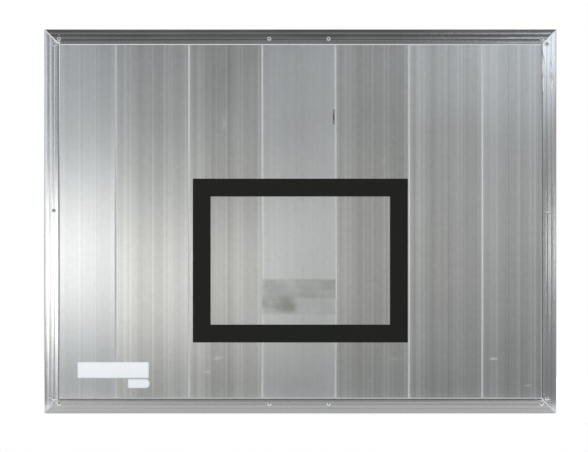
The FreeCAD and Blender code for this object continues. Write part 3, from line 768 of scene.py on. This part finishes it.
def seen_rays(tree):
    """Return one for rays that the camera, a reflection or clear matter sends out, else nought."""
    path = add_node(tree, "LightPath").outputs
    names = ("Is Camera Ray", "Is Glossy Ray", "Is Transmission Ray")
    return largest(tree, *(path[name] for name in names))


def dress(names, material):
    """Give solids one material."""
    for name in names:
        mesh = frame["nodes"][name].data
        mesh.materials.clear()
        mesh.materials.append(material)


def close_mesh(grid, name):
    """Return the mesh of a finished grid."""
    mesh = bpy.data.meshes.new(name)
    grid.to_mesh(mesh)
    grid.free()
    return mesh


def new_object(name, data):
    """Return a new object in the scene."""
    item = bpy.data.objects.new(name, data)
    bpy.context.scene.collection.objects.link(item)
    return item


def new_piece(name, mesh, material, replaced=()):
    """Put a mesh in the scene as a piece of the board."""
    mesh.materials.append(material)
    piece = new_object(name, mesh)
    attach(piece, "root")
    if replaced:
        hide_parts(*replaced)


def steps(start, end, step):
    """Return evenly spaced values from start to end, about a step apart."""
    count = max(1, round((end - start) / step))
    return [start + (end - start) * index / count for index in range(count + 1)]


class BACKBOARD_OT_planks(Operator):
    """Give the seven planks their mill finish"""

    bl_idname = "backboard.planks"
    bl_label = "Planks"

    def execute(self, context):
        look = context.scene.backboard_planks
        for number, name in enumerate(PLANKS):
            left = JOINTS[number]
            right = left + PLANK_COVER
            patches = []
            if left < 0 < right:
                # Painted dark reflection across the middle plank
                for share, bottom, top, soft, depth in DARK_REFLECTIONS:
                    box = (left, bottom / MM), (left + share * PLANK_COVER, top / MM)
                    patches.append((box, soft / MM, depth, look.dark_reflection))
                inset, width, bottom, top = (size / MM for size in NICK)
                box = (right - inset - width, bottom), (right - inset, top)
                patches.append((box, width / 2, 1.0, look.nick))
            tones, joint_highlights = PLANK_TONES[number], JOINT_HIGHLIGHTS[number:number + 2]
            finish = mill_finish_plank(f"mill_finish_{name}", left, tones, joint_highlights, look, patches)
            dress([name], finish)
        return {"FINISHED"}


class BACKBOARD_OT_edging(Operator):
    """Give the mitred edging its mill finish"""

    bl_idname = "backboard.edging"
    bl_label = "Edging"

    def execute(self, context):
        look = context.scene.backboard_edging
        for name, (solids, axis, tone) in EDGING.items():
            dress(solids, mill_finish_edging(name, axis, tone, look))
        return {"FINISHED"}


class BACKBOARD_OT_target(Operator):
    """Give the target strips their black film"""

    bl_idname = "backboard.target"
    bl_label = "Target"

    def execute(self, context):
        look = context.scene.backboard_target
        dress(STRIPS, calendered_black_film("calendered_black_film", look))
        return {"FINISHED"}


class BACKBOARD_OT_rivets(Operator):
    """Give the rivets and their pins their metals"""

    bl_idname = "backboard.rivets"
    bl_label = "Rivets"

    def execute(self, context):
        look = context.scene.backboard_rivets
        metals = {
            "cold_headed_aluminium": (RIVETS, look.head, look.mark, look.head_roughness),
            "drawn_steel_pin": (PINS, look.pin, look.torn, look.pin_roughness),
        }
        for name, (solids, light, dark, roughness) in metals.items():
            dress(solids, cold_headed_metal(name, light, dark, roughness, look))
        return {"FINISHED"}


class BACKBOARD_OT_rails(Operator):
    """Give the rear rails their mill finish"""

    bl_idname = "backboard.rails"
    bl_label = "Rear rails"

    def execute(self, context):
        look = context.scene.backboard_edging
        finish = mill_finish_edging("mill_finish_rail", ACROSS, RAIL_TONE, look, mitred=False)
        dress(RAILS, finish)
        return {"FINISHED"}


def nut_outline(sizes, bore):
    """Return an insert's outer half section, inner end to face, as radius and place."""
    flange_seat = -sizes.flange
    inner_wall = flange_seat - sizes.grip
    return [
        (bore, -sizes.length),
        (sizes.barrel_radius, -sizes.length),
        (sizes.barrel_radius, inner_wall - sizes.bulb_length),
        (sizes.bulb_radius, inner_wall),
        (sizes.barrel_radius, inner_wall),
        (sizes.barrel_radius, flange_seat),
        (sizes.flange_radius, flange_seat),
        (sizes.flange_radius, 0),
    ]


def thread_radius(sizes, bore, turn, place):
    """Return the radius of the threaded bore at a share of a turn and a place along it."""
    if place > -sizes.lead_in:
        return bore + sizes.thread_depth * (1 + place / sizes.lead_in)
    phase = (place / sizes.pitch - turn) % 1
    return bore + sizes.thread_depth * (1 - abs(2 * phase - 1))


def add_nut(grid, sizes, bore, centre):
    """Add one insert with a cut thread to a grid."""
    outline = nut_outline(sizes, bore)
    along = steps(0, -sizes.length, -sizes.pitch / sizes.pitch_steps)
    rings = []
    for step in range(sizes.facets):
        turn = step / sizes.facets
        spoke = Vector((math.cos(math.tau * turn), 0, math.sin(math.tau * turn)))
        thread = [(thread_radius(sizes, bore, turn, place), place) for place in along]
        points = [
            centre + spoke * radius + Vector((0, place, 0)) for radius, place in outline + thread
        ]
        rings.append([grid.verts.new(point) for point in points])
    for step, ring in enumerate(rings):
        follower = rings[(step + 1) % len(rings)]
        for index in range(len(ring)):
            after = (index + 1) % len(ring)
            face = grid.faces.new((ring[index], follower[index], follower[after], ring[after]))
            face.smooth = index >= len(outline)


class BACKBOARD_OT_nuts(Operator):
    """Build the threaded inserts of the rear rails"""

    bl_idname = "backboard.nuts"
    bl_label = "Threaded inserts"

    def execute(self, context):
        sizes = context.scene.backboard_nuts
        mounts = frame["record"]["mounts"]
        dims = next(mount["dims"] for mount in mounts if mount["kind"] == "bolt_pattern")
        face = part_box("rail_nuts")[1].y
        bore = dims["hole_r_mm"] / MM
        reach_x = dims["spacing_x_mm"] / MM / 2
        reach_z = dims["spacing_y_mm"] / MM / 2
        grid = bmesh.new()
        for x in (-reach_x, reach_x):
            for z in (-reach_z, reach_z):
                add_nut(grid, sizes, bore, Vector((x, face, z)))
        bmesh.ops.recalc_face_normals(grid, faces=grid.faces)
        mesh = close_mesh(grid, "threaded_inserts")
        material = zinc_plated_steel("zinc_plated_steel", sizes)
        new_piece("threaded_inserts", mesh, material, ("rail_nuts",))
        return {"FINISHED"}


def label_edge(x, z, half_width, half_height, corners):
    """Return a point of a rectangle moved onto its corners of a left and a right radius."""
    radius = corners[0] if x < 0 else corners[1]
    over_x, over_z = abs(x) - (half_width - radius), abs(z) - (half_height - radius)
    if over_x <= 0 or over_z <= 0:
        return x, z
    share = max(over_x, over_z) / math.hypot(over_x, over_z)
    new_x = half_width - radius + over_x * share
    new_z = half_height - radius + over_z * share
    return math.copysign(new_x, x), math.copysign(new_z, z)


def label_mesh(name, left, top, width, height, corners, sizes):
    """Return a thin label on the playing face that sinks a little where it crosses a joint."""
    grid = bmesh.new()
    half_width, half_height = width / 2, height / 2
    centre_x, centre_z = left + half_width, top - half_height
    columns = []
    for x in steps(-half_width, half_width, sizes.mesh_step):
        column = []
        for z in steps(-half_height, half_height, sizes.mesh_step):
            flat_x, flat_z = label_edge(x, z, half_width, half_height, corners)
            board_x = centre_x + flat_x
            nearest = min(abs(board_x - joint) for joint in JOINTS)
            sunk = sizes.crease_depth * math.exp(-((nearest / sizes.crease_width) ** 2))
            y = PLAYING_FACE - sizes.thickness + sunk
            column.append(grid.verts.new((board_x, y, centre_z + flat_z)))
        columns.append(column)
    for column, follower in zip(columns, columns[1:]):
        for index in range(len(column) - 1):
            after = index + 1
            points = (column[index], follower[index], follower[after], column[after])
            grid.faces.new(points).smooth = True
    rim = [edge for edge in grid.edges if edge.is_boundary]
    sides = bmesh.ops.extrude_edge_only(grid, edges=rim)["geom"]
    for item in sides:
        if isinstance(item, bmesh.types.BMVert):
            item.co.y = PLAYING_FACE
    bmesh.ops.recalc_face_normals(grid, faces=grid.faces)
    return close_mesh(grid, name)


class BACKBOARD_OT_labels(Operator):
    """Build the two blank labels at the lower left"""

    bl_idname = "backboard.labels"
    bl_label = "Blank labels"

    def execute(self, context):
        sizes = context.scene.backboard_labels
        square = (sizes.corner, sizes.corner)
        rounded = (sizes.corner, sizes.small_height / 2)
        labels = {"label_long": ("", square), "label_short": ("small_", rounded)}
        for name, (prefix, corners) in labels.items():
            left, top, width, height = (
                getattr(sizes, prefix + side) for side in ("left", "top", "width", "height")
            )
            mesh = label_mesh(name, left, top, width, height, corners, sizes)
            middle = (left + width / 2, 0, top - height / 2)
            reach = (width / 2, 0, height / 2)
            material = gloss_white_label(f"gloss_white_{name}", middle, reach, sizes)
            new_piece(name, mesh, material)
        return {"FINISHED"}


# Where each part of the room starts and is full: by height from the foot up, and by depth from
# before the board to behind it, in shares of a unit heading
ROOM_HEIGHTS = {
    "room_low": (-0.6, -0.4),
    "room_middle": (-0.1, -0.02),
    "room_high": (0.137, 0.209),
    "room_top": (0.4, 0.65),
}
ROOM_DEPTHS = {"room_side": (-0.85, -0.45), "room_back": (0.5, 0.95)}


def banded_room(tree, room, heading, bands, stage):
    """Return the room with each band's colour laid over it from a place along a heading on."""
    for name, (start, full) in bands.items():
        span = {"Value": heading, "From Min": start, "From Max": full}
        share = add_node(tree, "MapRange", span, interpolation_type="SMOOTHSTEP")
        room = layered(tree, room, (share, getattr(stage, name)))
    return room


def set_world(stage):
    """Set white for the camera, a plain room for metal to mirror, and even light for the rest."""
    world = bpy.data.worlds.new("studio")
    bpy.context.scene.world = world
    world.use_nodes = True
    tree = world.node_tree
    tree.nodes.clear()
    heading = add_node(tree, "TexCoord").outputs["Generated"]
    parts = add_node(tree, "SeparateXYZ", {"Vector": heading}).outputs
    room = banded_room(tree, stage.room_foot, parts["Z"], ROOM_HEIGHTS, stage)
    rising = {0: parts["X"], 1: stage.room_slope, 2: 1.0}
    slope = add_node(tree, "Math", rising, operation="MULTIPLY_ADD")
    sloped = {"Factor": 1.0, "A": room, "B": slope}
    room = add_node(tree, "Mix", sloped, data_type="RGBA", blend_type="MULTIPLY")
    room = banded_room(tree, room, parts["Y"], ROOM_DEPTHS, stage)
    direct = add_node(tree, "LightPath").outputs["Is Camera Ray"]
    white = (1, 1, 1, 1)
    background = add_node(tree, "Background", {"Color": layered(tree, room, (direct, white))})
    even = add_node(tree, "Background", {"Color": white, "Strength": stage.soft_light})
    mixed = add_node(tree, "MixShader", {0: seen_rays(tree), 1: even, 2: background})
    add_node(tree, "OutputWorld", {"Surface": mixed})


# Lamps: power in watts, middle in metres, width and height in millimetres, and colour of the light
LAMPS = {
    "key": (9.7, (-1.36, -5, -0.25), 1030, 580, "#FFFCF4"),
    "fill": (3.25, (1.66, -5, 0.94), 1250, 260, "#EAF4FF"),
    "rim": (8.2, (-2.6, -5, 0.66), 1290, 1420, "#ECF5FF"),
    "strip": (0.84, (2.05, -5, -0.12), 200, 290, "#FFFFFF"),
    "low": (0.58, (-1.6, -5, -0.78), 700, 260, "#F4F8FF"),
}


def set_lamp(name, power, place, width, height, code):
    """Add a soft lamp that faces the middle of the board."""
    light = bpy.data.lights.new(name, "AREA")
    light.shape = "RECTANGLE"
    light.size = width / MM
    light.size_y = height / MM
    light.energy = power
    light.color = linear(code)[:3]
    lamp = new_object(name, light)
    lamp.location = place
    lamp.rotation_euler = (-Vector(place)).to_track_quat("-Z", "Y").to_euler()
    lamp.visible_camera = False


def set_floor(stage):
    """Lay the pale floor under the bottom edge."""
    grid = bmesh.new()
    side, front, back = stage.floor_side, -stage.floor_front, stage.floor_back
    corners = ((-side, front), (side, front), (side, back), (-side, back))
    grid.faces.new([grid.verts.new((x, y, BOTTOM_EDGE)) for x, y in corners])
    mesh = close_mesh(grid, "floor")
    mesh.materials.append(floor_paper("floor_paper", stage))
    floor = new_object("floor", mesh)


def set_camera(stage):
    """Place the camera square to the playing face."""
    data = bpy.data.cameras.new("camera")
    data.lens = data.sensor_width * stage.distance / stage.framed_width
    camera = new_object("camera", data)
    camera.location = (stage.camera_right, PLAYING_FACE - stage.distance, stage.camera_up)
    camera.rotation_euler = (math.radians(90), 0, 0)
    bpy.context.scene.camera = camera


class BACKBOARD_OT_stage(Operator):
    """Set up the camera, room, floor and lamps"""

    bl_idname = "backboard.stage"
    bl_label = "Stage"

    def execute(self, context):
        stage = context.scene.backboard_stage
        context.scene.view_settings.view_transform = "Standard"
        set_camera(stage)
        set_world(stage)
        set_floor(stage)
        for name, lamp in LAMPS.items():
            set_lamp(name, *lamp)
        return {"FINISHED"}


GROUPS = {
    "backboard_planks": PlankFinish,
    "backboard_edging": EdgingFinish,
    "backboard_target": TargetFilm,
    "backboard_rivets": RivetFinish,
    "backboard_nuts": NutSizes,
    "backboard_labels": LabelSizes,
    "backboard_stage": StageSettings,
}
OPERATORS = (
    BACKBOARD_OT_stage,
    BACKBOARD_OT_planks,
    BACKBOARD_OT_edging,
    BACKBOARD_OT_target,
    BACKBOARD_OT_rivets,
    BACKBOARD_OT_rails,
    BACKBOARD_OT_nuts,
    BACKBOARD_OT_labels,
)


class BACKBOARD_PT_pieces(Panel):
    """Lists the pieces of the backboard"""

    bl_label = "Backboard"
    bl_space_type = "VIEW_3D"
    bl_region_type = "UI"
    bl_category = "Backboard"

    def draw(self, context):
        for operator in OPERATORS:
            self.layout.operator(operator.bl_idname)


def register():
    """Register the settings, operators and panel."""
    for name, group in GROUPS.items():
        bpy.utils.register_class(group)
        setattr(Scene, name, PointerProperty(type=group))
    for item in (*OPERATORS, BACKBOARD_PT_pieces):
        bpy.utils.register_class(item)


def unregister():
    """Take back what register did."""
    for item in (BACKBOARD_PT_pieces, *reversed(OPERATORS)):
        bpy.utils.unregister_class(item)
    for name, group in reversed(GROUPS.items()):
        delattr(Scene, name)
        bpy.utils.unregister_class(group)


def main():
    """Build the looks."""
    register()
    bpy.ops.backboard.stage()
    bpy.ops.backboard.planks()
    bpy.ops.backboard.edging()
    bpy.ops.backboard.target()
    bpy.ops.backboard.rivets()
    bpy.ops.backboard.rails()
    bpy.ops.backboard.nuts()
    bpy.ops.backboard.labels()


if __name__ == "__main__":
    main()
